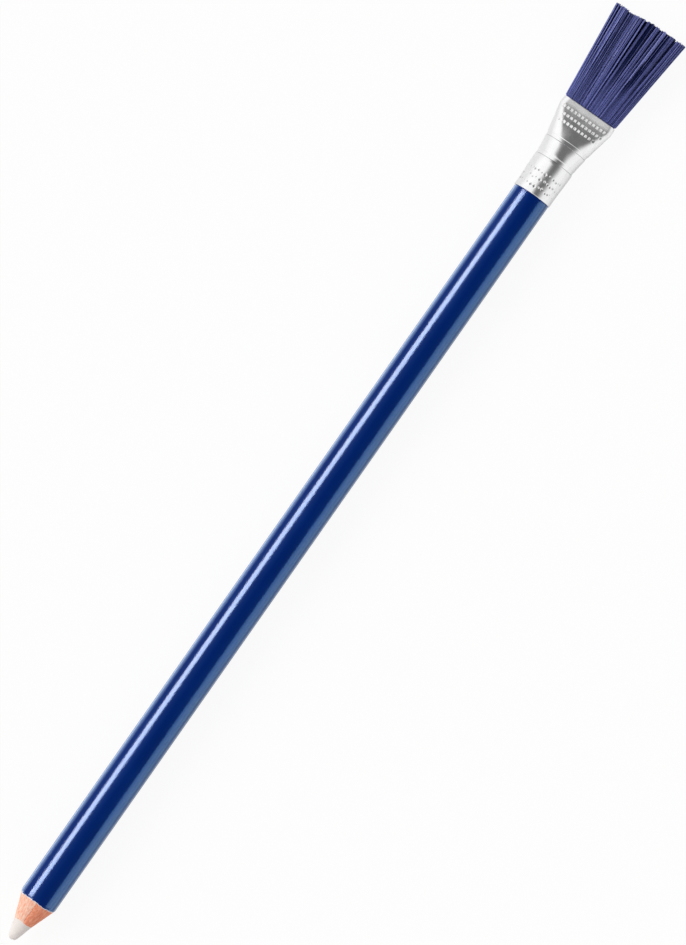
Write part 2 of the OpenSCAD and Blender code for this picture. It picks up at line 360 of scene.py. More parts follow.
class Shader(Nodes):
    """A material's nodes, with its surface and the place on the object."""

    def __init__(self, name):
        self.material = bpy.data.materials.new(name)
        self.material.use_nodes = True
        super().__init__(self.material.node_tree)
        self.surface = self.tree.nodes["Principled BSDF"]
        self.place = self.node("ShaderNodeTexCoord").outputs["Object"]

    def set(self, **inputs):
        """Values and links of the surface, by socket name with _ for a space."""
        for key, value in inputs.items():
            socket = key.replace("_", " ").title().replace("Ior", "IOR")
            self.put(self.surface.inputs[socket], value)

    def noise(self, grain, detail=3.0, stretch=1.0):
        """Noise with features about a grain across, drawn out along the pencil by a stretch."""
        size = (1 / (grain * stretch), 1 / grain, 1 / grain)
        scaled = self.node("ShaderNodeMapping", {"Vector": self.place, "Scale": size})
        return self.node("ShaderNodeTexNoise", {
            "Vector": scaled.outputs["Vector"], "Scale": 1.0, "Detail": detail,
            "Roughness": NOISE_ROUGHNESS,
        }).outputs["Fac"]

    def marked(self, name):
        """The value that a piece's points were marked with."""
        return self.node("ShaderNodeAttribute", attribute_name=name).outputs["Fac"]

    def mix(self, factor, first, second):
        """A colour between two, by a factor."""
        made = self.node("ShaderNodeMix", data_type="RGBA")
        for key, value in ((0, factor), (6, first), (7, second)):
            self.put(made.inputs[key], (*value, 1.0) if isinstance(value, tuple) else value)
        return made.outputs[2]

    def bump(self, height, depth, strength, below=None):
        """A relief that follows a height, on another relief where one is given."""
        inputs = {"Height": height, "Distance": depth, "Strength": strength}
        if below is not None:
            inputs["Normal"] = below
        return self.node("ShaderNodeBump", inputs).outputs["Normal"]

    def vector(self, operation, first, second, output="Vector"):
        """Arithmetic on two vectors."""
        made = self.node("ShaderNodeVectorMath", {0: first, 1: second}, operation=operation)
        return made.outputs[output]

    def from_axis(self):
        """Place seen from the pencil's axis."""
        return self.vector("SUBTRACT", self.place, (0.0, 0.0, axis_z))

    def seam_distance(self):
        """Distance from the joint between the slats, in millimetres."""
        across = (0.0, math.cos(SEAM_TURN) / MM, math.sin(SEAM_TURN) / MM)
        side = self.vector("DOT_PRODUCT", self.from_axis(), across, "Value")
        return self.calculate("ABSOLUTE", side)

    def axis_distance(self):
        """Distance from the pencil's axis."""
        across = self.vector("MULTIPLY", self.from_axis(), (0.0, 1.0, 1.0))
        return self.node("ShaderNodeVectorMath", {0: across}, operation="LENGTH").outputs["Value"]


# Materials


def rubber():
    """Off-white rubber, speckled and smudged, with painted shade in its chips."""
    shader = Shader("eraser_rubber")
    dull, pale = (0.8, 0.73, 0.69), (0.91, 0.85, 0.81)
    smudged, painted_dark = (0.7, 0.62, 0.58), (0.36, 0.31, 0.3)
    speckle = shader.noise(0.12 * MM, detail=5)
    smudge = shader.ramp(shader.noise(1.3 * MM), (0.52, 0.0), (0.72, 0.35))
    # Painted shade in the chips, darker where they are deeper
    chip_shade = shader.ramp(shader.marked("chip"), (0.1, 0.0), (0.9, 0.65))
    worn = shader.mix(smudge, shader.ramp(speckle, (0.3, dull), (0.62, pale)), smudged)
    shader.set(base_color=shader.mix(chip_shade, worn, painted_dark),
               roughness=shader.ramp(speckle, (0.3, 0.75), (0.7, 0.92)),
               specular_ior_level=0.05,
               normal=shader.bump(speckle, 0.02 * MM, 0.6))
    return shader.material


def wood(name, pale, deep):
    """Cut softwood with drawn-out grain, short flecks and a dark line of glue at the joint."""
    shader = Shader(name)
    between = tuple((a + b) / 2 for a, b in zip(deep, pale))
    fleck_shares = (0.8, 0.66, 0.58)
    dark = tuple(c * share for c, share in zip(deep, fleck_shares))
    glue_brown = (0.3, 0.12, 0.07)
    seam = SEAM_WIDTH / MM
    grain = shader.noise(0.32 * MM, detail=5, stretch=7)
    fibre = shader.noise(0.1 * MM, stretch=12)
    fleck = shader.ramp(shader.noise(0.22 * MM, stretch=2.5), (0.56, 0.0), (0.7, 0.7))
    body = shader.ramp(grain, (0.36, deep), (0.5, between), (0.62, pale))
    streaked = shader.mix(shader.ramp(fibre, (0.4, 0.0), (0.72, 0.4)), body, deep)
    flecked = shader.mix(fleck, streaked, dark)
    unevenness = shader.ramp(grain, (0.35, 0.0), (0.65, seam))
    wander = shader.calculate("ADD", shader.seam_distance(), unevenness)
    glue = shader.ramp(wander, (0.0, 0.85), (seam, 0.0))
    shader.set(base_color=shader.mix(glue, flecked, glue_brown),
               roughness=0.62,
               specular_ior_level=0.05,
               normal=shader.bump(fibre, 0.05 * MM, 0.6, shader.bump(grain, 0.08 * MM, 0.5)))
    return shader.material


def lacquer():
    """Glossy blue lacquer, faintly clouded, over a pale ground coat that shows at the cut."""
    shader = Shader("blue_lacquer")
    deep, bright = (0.0, 0.014, 0.135), (0.0, 0.018, 0.155)
    ground_coat = (0.62, 0.66, 0.74)
    cloud = shader.noise(4 * MM, detail=2, stretch=3)
    ground = shader.calculate("LESS_THAN", shader.axis_distance(), barrel_r - GROUND_COAT)
    blue = shader.ramp(cloud, (0.3, deep), (0.7, bright))
    shader.set(base_color=shader.mix(ground, blue, ground_coat),
               roughness=shader.ramp(cloud, (0.3, 0.16), (0.7, 0.19)),
               specular_ior_level=0.14,
               specular_tint=(0.3, 0.7, 1.0, 1.0))
    return shader.material


def metal():
    """Bright drawn sheet, hazy in places, scuffed towards the mouth, with painted shade at its
    lower rim, in its grooves and in its pricks.
    """
    shader = Shader("ferrule_metal")
    dull, bright, painted_dark = (0.89, 0.89, 0.9), (0.95, 0.95, 0.95), (0.3, 0.3, 0.31)
    scuff_roughness = 0.2
    drawn = shader.noise(0.1 * MM, stretch=30)
    haze = shader.noise(1.5 * MM)
    patches = shader.ramp(haze, (0.3, 0.5), (0.7, 1.0))
    # Painted shade from the sleeve's rim, grooves and pricks, broken up by the haze
    painted_shade = shader.calculate("MULTIPLY", shader.marked("painted_shade"), patches)
    scuff = shader.calculate("MULTIPLY", shader.marked("scuff"), scuff_roughness)
    polish = shader.ramp(haze, (0.3, 0.13), (0.7, 0.2))
    shader.set(base_color=shader.mix(painted_shade, shader.ramp(haze, (0.3, dull), (0.7, bright)), painted_dark),
               metallic=1.0,
               roughness=shader.calculate("ADD", polish, scuff),
               normal=shader.bump(drawn, 0.003 * MM, 0.3, shader.bump(haze, 0.03 * MM, 0.5)))
    return shader.material


def resin():
    """Set amber resin."""
    shader = Shader("set_resin")
    deep, pale = (0.55, 0.36, 0.12), (0.7, 0.5, 0.2)
    cloud = shader.noise(0.8 * MM, detail=4)
    shader.set(base_color=shader.ramp(cloud, (0.3, deep), (0.7, pale)),
               roughness=0.35,
               normal=shader.bump(cloud, 0.05 * MM, 0.4))
    return shader.material


def bristle():
    """Violet-blue filament with painted shade, nearly black in the gaps, and pale on the bristles
    that stand out.
    """
    shader = Shader("violet_bristle")
    darkest, violet, palest = (0.003, 0.007, 0.05), (0.19, 0.215, 0.56), (0.41, 0.45, 0.95)
    streak_dark = (0.012, 0.02, 0.08)
    streak = shader.noise(0.12 * MM, stretch=25)
    # The lowest shades are the gaps' painted shade; the rest differ at random
    hue = shader.ramp(shader.marked("shade"), (0.1, darkest), (0.5, violet), (0.9, palest))
    darkened = shader.ramp(streak, (0.35, 0.4), (0.65, 0.0))
    shader.set(base_color=shader.mix(darkened, hue, streak_dark),
               roughness=0.45,
               specular_ior_level=0.04,
               normal=shader.bump(streak, 0.006 * MM, 0.4))
    return shader.material


# Eraser, wood and lacquer


def cut_wave(turn):
    """How far the sharpener's cut runs on along the pencil, round the cone."""
    return CUT_WAVE * ripples(CUT_RIPPLES, turn)


def chip_depth(points, middle):
    """Depth of the small chips broken out of the round end of the tip, about its middle."""
    total = np.zeros(points.shape[:-1])
    for turn, slope, width, depth, height in TIP_CHIPS:
        turn, slope = math.radians(turn), math.radians(slope)
        side = math.sin(slope)
        towards = np.array([-math.cos(slope), side * math.sin(turn), side * math.cos(turn)])
        apart = (points - middle - TIP_RADIUS * towards) / (1, 1, height)
        total += depth * dent(np.linalg.norm(apart, axis=-1), width / 2)
    return total


def eraser_tip(material):
    """Rubber rod with a blunt, worn and chipped tip."""
    exposed = wood_x - tip_x
    reach = math.hypot(core_r, exposed - TIP_RADIUS)
    slope = math.atan2(core_r, exposed - TIP_RADIUS) - math.asin(TIP_RADIUS / reach)
    arc = np.linspace(TIP_START, math.pi / 2 - slope, TIP_STATIONS)
    round_x, round_r = TIP_RADIUS * (1 - np.cos(arc)), TIP_RADIUS * np.sin(arc)
    taper_x = np.linspace(round_x[-1], exposed, TAPER_STATIONS)[1:]
    taper_r = np.linspace(round_r[-1], core_r, TAPER_STATIONS)[1:]
    along = [*round_x, *taper_x, pencil_end_x - tip_x]
    radii = [*round_r, *taper_r, core_r]
    turn = turns(TIP_COLUMNS)
    rings = []
    for distance, radius in zip(along, radii):
        wear = TIP_WEAR * math.exp(-distance / WEAR_REACH) * min(1, radius / WEAR_FADE_RADIUS)
        uneven = 1 + WEAR_UNEVENNESS * ripples(WEAR_RIPPLES, turn, distance)
        rings.append(around(tip_x + distance, radius - wear * uneven, turn))
    points = np.array(rings)
    middle = np.array([tip_x + TIP_RADIUS, 0, axis_z])
    chips = chip_depth(points, middle)
    points = points + (middle - points) * (chips / TIP_RADIUS)[..., None]
    faces = capped_faces(len(rings), TIP_COLUMNS)
    piece = add_piece("eraser_tip", points, faces, material, "eraser_core")
    # The chips' depth, which the rubber turns into painted shade
    mark_points(piece, "chip", chips / chips.max())


def casing_slat(side, first_turn, material):
    """Half of the wood casing; its edges are eased, so that the joint shows as a fine line."""
    edge = np.radians(SLAT_EDGE)
    face = np.linspace(math.radians(SLAT_FACE), math.pi - math.radians(SLAT_FACE), SLAT_COLUMNS)
    span = np.concatenate([edge, face, math.pi - edge[::-1]])
    turn = first_turn + span
    wave = cut_wave(turn)
    cone_length = lacquer_x - wood_x
    # Stations: share of the sharpened cone, then plain distances along the barrel
    stations = [(wood_x + wave + share * cone_length, core_r + share * (wood_r - core_r))
                for share in np.linspace(CONE_START, 1, CONE_STATIONS)]
    barrel = np.linspace(lacquer_x + CUT_RUNOUT, pencil_end_x, SLAT_STATIONS)
    stations += [(x, wood_r) for x in barrel]
    rings = []
    for x, radius in stations:
        from_edge = radius * np.minimum(span, math.pi - span)
        eased = radius - SEAM_DEPTH * np.exp(-(from_edge / SEAM_WIDTH) ** 2)
        outside = around(x, np.maximum(eased, core_r * SLAT_LEAST), turn)
        rings.append(np.concatenate([outside, around(x, core_r, turn)[::-1]]))
    count = len(turn)
    size = 2 * count
    faces = ring_faces(len(rings), size, False)
    last = (len(rings) - 1) * size
    for i in range(count - 1):
        faces.append([i + 1, i, size - 1 - i, size - 2 - i])
        faces.append([last + i, last + i + 1, last + size - 2 - i, last + size - 1 - i])
    slot, node = f"slat_{side}_wood", f"casing_slat_{side}"
    add_piece(f"wood_slat_{side}", rings, faces, material, node)


def barrel_lacquer(material):
    """Skin of lacquer whose cut edge follows the sharpened cone."""
    turn = turns(LACQUER_COLUMNS)
    wave = cut_wave(turn)
    cut_end = lacquer_x + wave + (barrel_r - wood_r) / cone_slope
    barrel = np.linspace(cut_end.max() + CUT_RUNOUT, shoulder_x - LACQUER_END, LACQUER_STATIONS)
    rings = [around(lacquer_x + wave, wood_r, turn),
             around(cut_end - LACQUER_EDGE / 2, barrel_r - LACQUER_EDGE / 2 * cone_slope, turn),
             around(cut_end + LACQUER_EDGE, barrel_r, turn),
             *[around(x, barrel_r, turn) for x in barrel],
             around(shoulder_x, barrel_r - LACQUER_EDGE, turn),
             around(shoulder_x, wood_r, turn)]
    faces = ring_faces(len(rings), LACQUER_COLUMNS, True)
    return add_piece("barrel_lacquer", rings, faces, material, "lacquer_coat",
                     crease=30)


# Ferrule


def sleeve_form(level):
    """Half the flats and half the thickness of the ferrule's flat-oval section at a level."""
    drop = tube_r - mouth_b + LIP_SPRING
    past_lip = soft_rise(level - lip_level, FOLD)
    progress = (soft_rise(level - neck_end, FOLD) - past_lip) / (lip_level - neck_end)
    thickness = tube_r - drop * progress ** FLARE_EASE + LIP_SPRING / LIP_LENGTH * past_lip
    return (tube_perimeter - 2 * math.pi * thickness) / 4, thickness


def oval(f, b, share):
    """A flat oval's y and z at shares of its perimeter, from the top's middle towards +Y."""
    total = 4 * f + 2 * math.pi * b
    run = share * total
    bend = math.pi * b
    left_turn = (run - f) / b
    right_turn = (run - 3 * f - bend) / b
    zones = [run < f, run < f + bend, run < 3 * f + bend, run < 3 * f + 2 * bend]
    left_y, right_y = f + b * np.sin(left_turn), -f - b * np.sin(right_turn)
    y = np.select(zones, [run, left_y, 2 * f + bend - run, right_y], run - total)
    top = np.full_like(run, b)
    z = np.select(zones, [top, b * np.cos(left_turn), -top, -b * np.cos(right_turn)], top)
    return y, z


def sleeve_section(level, share):
    """The ferrule's section at a level, from an ellipse at the neck to a flat oval at the lip."""
    f, b = sleeve_form(level)
    y, z = oval(f, b, share)
    rounded = 1 - smooth_step(level, neck_end, lip_level)
    turn = 2 * math.pi * share
    return y + rounded * ((f + b) * np.sin(turn) - y), z + rounded * (b * np.cos(turn) - z)


def inset_ring(x, y, z, inset):
    """A closed section across the pencil, moved inwards along its normals."""
    run_y = np.roll(y, -1) - np.roll(y, 1)
    run_z = np.roll(z, -1) - np.roll(z, 1)
    length = np.hypot(run_y, run_z)
    moved_y = y + inset * run_z / length
    moved_z = axis_z + z - inset * run_y / length
    return np.stack([np.full_like(y, x), moved_y, moved_z], axis=-1)


def sleeve_draw(level):
    """How far the crimp and the two rolled grooves draw the sheet in at a level."""
    drawn = CRIMP_DEPTH * (1 - smooth_step(level, CRIMP_LENGTH, CRIMP_LENGTH + CRIMP_RUNOUT))
    half_width = GROOVE_WIDTH / 2
    for start in GROOVE_LEVELS:
        away = abs(level - start - half_width)
        groove = 1 - smooth_step(away, half_width - GROOVE_EDGE, half_width)
        drawn = drawn + GROOVE_DEPTH * groove
    return drawn


def plateau(distance, half_width):
    """1 inside a mark's half width, falling to 0 over its sloped edge."""
    return 1 - smooth_step(np.abs(distance), half_width - MARK_EDGE, half_width)


def crimp_marks(level, y):
    """Depth of the rows of square marks on both flat faces, each mark deeper on its +Y side."""
    depth = np.zeros_like(y)
    for row in range(MARK_ROWS):
        row_level = ferrule_length - MARK_INSET - row * MARK_ROW_PITCH
        f, b = sleeve_form(row_level)
        side = math.floor((f + b - MARK_WIDTH) / MARK_PITCH)
        column = np.clip(np.round((y - MARK_SHIFT) / MARK_PITCH), -side, side)
        across = y - MARK_SHIFT - column * MARK_PITCH
        slanted = MARK_DEPTH * (0.5 + across / MARK_WIDTH)
        pressed = plateau(across, MARK_WIDTH / 2) * plateau(level - row_level, MARK_LENGTH / 2)
        depth += slanted * pressed
    return depth


def prick_places():
    """Shares round the ferrule, levels and sizes of the pricks that stake it to the wood."""
    rng = np.random.default_rng(SEED)
    places = []
    for row in range(PRICK_ROWS):
        for i in range(PRICK_COUNT):
            turned = rng.uniform(-PRICK_SHAKE_ROUND, PRICK_SHAKE_ROUND)
            shifted = rng.uniform(-PRICK_SHAKE_ALONG, PRICK_SHAKE_ALONG)
            share = (i + PRICK_STAGGER * (row % 2) + turned) / PRICK_COUNT
            level = PRICK_INSET + row * PRICK_PITCH + shifted
            places.append((share, level, rng.uniform(*PRICK_SIZES)))
    return places


def prick_marks(level, share, places):
    """Depth of the prick marks at a level."""
    depth = np.zeros_like(share)
    for place, row_level, size in places:
        if abs(level - row_level) > PRICK_WIDTH:
            continue
        round_away = np.abs((share - place + 0.5) % 1 - 0.5) * tube_perimeter
        away = (round_away + abs(level - row_level)) / (PRICK_WIDTH * size)
        depth = np.maximum(depth, PRICK_DEPTH * size * dent(away, 1))
    return depth


def sleeve_levels():
    """Levels of the ferrule's rings, close together where the sheet is marked or folded."""
    pricks_low = PRICK_INSET - 2 * PRICK_WIDTH
    pricks_high = PRICK_INSET + (PRICK_ROWS - 1) * PRICK_PITCH + 2 * PRICK_WIDTH
    fold_end = lip_level + FOLD
    grooves = [np.linspace(start, start + GROOVE_WIDTH, GROOVE_RINGS) for start in GROOVE_LEVELS]
    stretches = [np.linspace(RIM_ROUND, pricks_low, PLAIN_RINGS),
                 np.arange(pricks_low, pricks_high, FINE_STEP),
                 np.linspace(pricks_high, CRIMP_LENGTH + CRIMP_RUNOUT, PLAIN_RINGS),
                 *grooves,
                 np.linspace(neck_end, marks_low, FLARE_RINGS),
                 np.arange(marks_low, fold_end, FINE_STEP),
                 np.linspace(fold_end, ferrule_length - RIM_ROUND, LIP_RINGS)]
    return np.unique(np.round(np.concatenate(stretches), LEVEL_DECIMALS))


def ferrule_sleeve(material):
    """Drawn tube, pricked and crimped on the wood, grooved, and flattened to a wide mouth."""
    pricks = prick_places()
    levels = sleeve_levels()
    share = (np.arange(SLEEVE_COLUMNS) + 0.5) / SLEEVE_COLUMNS
    turn = 2 * math.pi * share

    def ring(level, inset):
        return inset_ring(shoulder_x + level, *sleeve_section(level, share), inset)

    def outer_inset(level):
        y = sleeve_section(level, share)[0]
        marks = crimp_marks(level, y) + prick_marks(level, share, pricks)
        return sleeve_draw(level) + marks + SHEET_WAVE * ripples(SHEET_RIPPLES, turn, level)

    def inner_inset(level):
        return sleeve_draw(level) + SHEET

    low, high = 0.0, ferrule_length
    rings = [ring(low, outer_inset(low) + RIM_ROUND),
             *[ring(level, outer_inset(level)) for level in levels],
             ring(high, outer_inset(high) + RIM_ROUND),
             ring(high, inner_inset(high) - RIM_ROUND),
             *[ring(level, inner_inset(level)) for level in levels[::-INNER_RING_EVERY]],
             ring(low, inner_inset(low) - RIM_ROUND)]
    faces = ring_faces(len(rings), SLEEVE_COLUMNS, True)
    piece = add_piece("ferrule_sleeve", rings, faces, material, "ferrule",
                      crease=50)
    # Painted shade: a dark line along the lower rim, lines along the grooves' lower edges, and
    # shade in the pricks
    painted_shade = np.zeros((len(rings), SLEEVE_COLUMNS))
    painted_shade[0] = 1
    for number, level in enumerate(levels, start=1):
        lines = max(dent(level - start - GROOVE_EDGE / 2, SHADE_LINE_WIDTH) for start in GROOVE_LEVELS)
        pricks_shaded = PRICK_SHADE * prick_marks(level, share, pricks) / PRICK_DEPTH
        painted_shade[number] = np.maximum(lines, pricks_shaded)
    mark_points(piece, "painted_shade", painted_shade)
    scuff = np.zeros((len(rings), SLEEVE_COLUMNS))
    scuff[1:len(levels) + 1] = smooth_step(levels, marks_low, lip_level)[:, None]
    mark_points(piece, "scuff", scuff)


# Brush


def jittered_grid(rng, columns, rows, stagger, jitter):
    """Shares from -1 to 1 across the brush and through it, on a grid that is shaken a little."""
    column, row = np.meshgrid(np.arange(columns), np.arange(rows), indexing="ij")
    column, row = column.ravel(), row.ravel()
    shake = rng.uniform(-jitter, jitter, (2, column.size))
    u = (column + 0.5 + stagger * (row % 2 - 0.5) + shake[0]) / columns * 2 - 1
    v = (row + 0.5 + shake[1]) / rows * 2 - 1
    return u, v


def fan_place(u, v, f, b):
    """Place across the brush at shares u of its width and v of its thickness."""
    return u * (f + b * np.sqrt(np.maximum(0, 1 - v * v))), v * b


def bristle_paths(rng):
    """Centre lines and shades of the bristles, which gather in clumps and are cut unevenly."""
    u, v = jittered_grid(rng, BRISTLE_COLUMNS, BRISTLE_ROWS, ROW_STAGGER, BRISTLE_JITTER)
    u = np.clip(u, -ROOT_LIMIT_ACROSS, ROOT_LIMIT_ACROSS)
    v = np.clip(v, -ROOT_LIMIT_THROUGH, ROOT_LIMIT_THROUGH)
    count = u.size
    clump_u, clump_v = jittered_grid(rng, CLUMP_COLUMNS, CLUMP_ROWS, 0, CLUMP_JITTER)
    clumps = clump_u.size
    away_y = (u[:, None] - clump_u) * fan_half_width
    away_z = (v[:, None] - clump_v) * fan_half_thickness
    own = np.hypot(away_y, away_z).argmin(axis=1)
    pull = rng.uniform(*CLUMP_PULL, clumps)[own] * (1 - smooth_step(np.abs(u), *PULL_FADE))

    root_f, lip_b = sleeve_form(ferrule_length)
    root_b = lip_b - BRISTLE_RADIUS
    tip_b = fan_half_thickness - BRISTLE_RADIUS
    tip_f = fan_half_width - BRISTLE_RADIUS - tip_b
    root_y, root_z = fan_place(u, v, root_f, root_b)
    free_y, free_z = fan_place(u, v, tip_f, tip_b)
    drawn_u = u + (clump_u[own] - u) * pull
    drawn_v = v + (clump_v[own] - v) * pull
    drawn_y, drawn_z = fan_place(drawn_u, drawn_v, tip_f, tip_b)

    dip = LEFT_DIP * smooth_step(u, *DIP_SPAN)
    rag = CLUMP_RAG * rng.uniform(0, 1, clumps)[own] ** 2
    rag = rag + BRISTLE_RAG * rng.uniform(0, 1, count) ** 2
    end_x = brush_end_x - dip - rag * (np.abs(u) < RAG_LIMIT)
    start_x = mouth_x - ROOT_RECESS - ROOT_DEPTH

    free_stations = np.linspace(FIRST_FREE_STATION, 1, BRISTLE_STATIONS - len(ROOT_STATIONS))
    t = np.concatenate([ROOT_STATIONS, free_stations])[None, :]
    sway = rng.normal(0, SWAY, (2, count, 1)) * np.sin(math.pi * t)
    splay = rng.normal(0, SPLAY, (2, count, 1)) * t ** 2

    def along_path(root, free, drawn, axis):
        straight = root[:, None] + (free - root)[:, None] * t
        return straight + (drawn - free)[:, None] * t ** PULL_BEND + sway[axis] + splay[axis]

    x = start_x + (end_x - start_x)[:, None] * t
    y = along_path(root_y, free_y, drawn_y, 0)
    z = along_path(root_z, free_z, drawn_z, 1)

    # Lanes of bristles and gaps between them take turns across the brush
    lanes = 2 * math.ceil(2 * fan_half_width / (LANE_WIDTH[0] + GAP_WIDTH[0]))
    gap_widths = rng.uniform(*GAP_WIDTH, lanes)
    widths = np.where(np.arange(lanes) % 2, gap_widths, rng.uniform(*LANE_WIDTH, lanes))
    lane = np.searchsorted(np.cumsum(widths), (u + 1) * fan_half_width)
    gap = lane % 2
    deepness = rng.uniform(*GAP_DEEPNESS, lanes)[lane]
    opening = smooth_step(t, rng.uniform(*GAP_START, lanes)[lane][:, None], GAP_FULL)
    z = z * (1 - GAP_SINK * (gap * deepness)[:, None] * opening)
    y = y + rng.normal(0, LANE_LEAN, lanes)[lane][:, None] * t ** 2

    squeeze = (SHEET + FIT_GAP) * (1 - smooth_step(x, mouth_x, mouth_x + BULGE))
    reach_y, reach_z = fan_half_width - BRISTLE_RADIUS, fan_half_thickness - BRISTLE_RADIUS
    y = np.clip(y * (1 - squeeze / (root_f + root_b)), -reach_y, reach_y)
    z = np.clip(z * (1 - squeeze / root_b), -reach_z, reach_z)

    # Sunk gap lanes are painted dark as the shade between the lanes, the deeper the darker
    gap_painted_shade = GAP_PAINTED_SHADE[1] + (GAP_PAINTED_SHADE[0] - GAP_PAINTED_SHADE[1]) * deepness
    lane_shade = np.where(gap, gap_painted_shade, LANE_SHADE * rng.normal(0, 1, lanes)[lane])
    own_shade = BRISTLE_SHADE * rng.normal(0, 1, count)
    own_shade = own_shade + CLUMP_SHADE * rng.normal(0, 1, clumps)[own]
    shade = (0.5 + own_shade[:, None] * (BRISTLE_ROOT_SHARE + (1 - BRISTLE_ROOT_SHARE) * opening)
             + lane_shade[:, None] * (LANE_ROOT_SHARE + (1 - LANE_ROOT_SHARE) * opening))
    return np.stack([x, y, axis_z + z], axis=-1), shade


def brush_bristles(material):
    """Every bristle as a thin rod with a slanted cut end, above the bound roots in the mouth."""
    rng = np.random.default_rng(SEED + 1)
    paths, shades = bristle_paths(rng)
    count = len(paths)
    side = turns(BRISTLE_SIDES)
    taper = np.linspace(1, END_TAPER, BRISTLE_STATIONS)[None, :, None]
    thick = BRISTLE_RADIUS * rng.uniform(*THICKNESSES, (count, 1, 1)) * taper
    slant = np.zeros((count, BRISTLE_STATIONS, 1))
    slant[:, -1, 0] = rng.uniform(-CUT_SLANT, CUT_SLANT, count)
    across = thick * np.cos(side)
    offset = np.stack([slant * across, across, thick * np.sin(side)], axis=-1)
    offset[..., 0] -= np.abs(slant) * thick
    points = paths[:, :, None, :] + offset
    tube = np.array(ring_faces(BRISTLE_STATIONS, BRISTLE_SIDES, False))
    step = BRISTLE_STATIONS * BRISTLE_SIDES
    starts = np.arange(count) * step
    ends = np.arange(BRISTLE_SIDES)
    faces = [*(starts[:, None, None] + tube[None]).reshape(-1, 4).tolist(),
             *(starts[:, None] + ends[::-1]).tolist(),
             *(starts[:, None] + step - BRISTLE_SIDES + ends).tolist()]
    piece = add_piece("brush_bristles", points, faces, material, "bristle_tuft",
                      crease=60)
    mark_points(piece, "shade", np.repeat(shades, BRISTLE_SIDES))


def bristle_root(material):
    """Bound roots that close the mouth between the bristles, in the darkest colour, the painted
    shade of the gaps.
    """
    f = sleeve_form(ferrule_length)[0]
    b = sleeve_form(lip_level)[1]
    share = (np.arange(ROOT_COLUMNS) + 0.5) / ROOT_COLUMNS
    section = oval(f, b - SHEET - FIT_GAP, share)
    top_x = mouth_x - ROOT_RECESS
    stations = ((root_x, ROOT_EDGE), (root_x + ROOT_EDGE, 0),
                (top_x - ROOT_EDGE, 0), (top_x, ROOT_EDGE))
    rings = [inset_ring(x, *section, inset) for x, inset in stations]
    faces = capped_faces(len(rings), ROOT_COLUMNS)
    add_piece("bristle_root", rings, faces, material, "bristle_tuft")


# Stage

CAMERA_HEIGHT = 720 * MM
# Length that the photograph's longer side takes in
FRAME_HEIGHT = 175.65 * MM
CAMERA_TURN = math.radians(-55)
# The photograph's middle, from the pencil's middle along it and across it
FRAME_ALONG = 2.6 * MM
FRAME_ACROSS = -0.795 * MM
# Floor: half its side, its colour, and its glow towards the camera and in what is mirrored
FLOOR_HALF = 1.5
FLOOR_WHITE = (0.93, 0.93, 0.93, 1.0)
FLOOR_GLOW = 0.92
MIRRORED_GLOW = 0.25
# Light on plain surfaces: even fill from all round, and a soft key from the photograph's left
FILL_LEVEL = 0.58
KEY_LEVEL = 0.47
KEY_TILT = math.radians(50)
KEY_SPREAD = math.radians(35)
# Brightness of the studio in reflections, by the angle across the pencil from straight up,
# in degrees; negative angles are at the photograph's left
STUDIO = ((-180, 0.3), (-112, 0.5), (-90, 0.95), (-60, 1.08), (-26, 1.02), (46, 0.85),
          (62, 0.95), (90, 0.95), (114, 0.45), (180, 0.3))
# Strip lamps that only the lacquer mirrors: angle across, angular width, brightness and colour
STRIPS = ((-54, 26, 140, (1.0, 0.56, 0.5)), (75, 34, 12.5, (0.85, 0.88, 0.95)))
# A strip lamp's stretches, dimmer towards its ends: middle, length and share of the brightness
STRIP_STRETCHES = ((-0.42, 0.4, 0.22), (0.0, 0.44, 1.0), (0.42, 0.4, 0.22))
STRIP_DISTANCE = 0.5
# Bright strips of floor that only the lacquer mirrors: both edges' y, brightness and colour
FLOOR_STRIPS = ((6 * MM, 22 * MM, 4.5, (0.6, 0.8, 1.0)),
                (-18 * MM, -6 * MM, 1.6, (0.6, 0.85, 1.0)),
                (-240 * MM, -18 * MM, 8, (0.6, 0.85, 1.0)))
FLOOR_STRIP_LENGTH = 1.2
FLOOR_STRIP_LIFT = 0.05 * MM
# A dark card overhead: its brightness, its soft edges at left and right, how much further it
# reaches to the left beyond the brush, how much of it is left towards the tip, and its falloff
CARD_LEVEL = 0.16
CARD_LEFT = (-20, 18)
CARD_RIGHT = (10, 57)
CARD_REACH = 16
CARD_REACH_ALONG = (8, 25)
CARD_END_ALONG = (-9, -5.5)
CARD_END_SHARE = 0.45
CARD_FALLOFF = 2.2
# The studio's dim ends, by the angle towards either end of the pencil
END_SLOPE = (48, 74)
END_DIMMING = 0.75
WHITE = (1.0, 1.0, 1.0, 1.0)


def studio_camera():
    """A camera above the pencil, turned as the photograph is."""
    data = bpy.data.cameras.new("camera")
    data.lens = data.sensor_width * CAMERA_HEIGHT / FRAME_HEIGHT
    camera = bpy.data.objects.new("camera", data)
    camera.location = (FRAME_ALONG, FRAME_ACROSS, axis_z + CAMERA_HEIGHT)
    camera.rotation_euler = (0, 0, CAMERA_TURN)
    bpy.context.scene.collection.objects.link(camera)
    bpy.context.scene.camera = camera


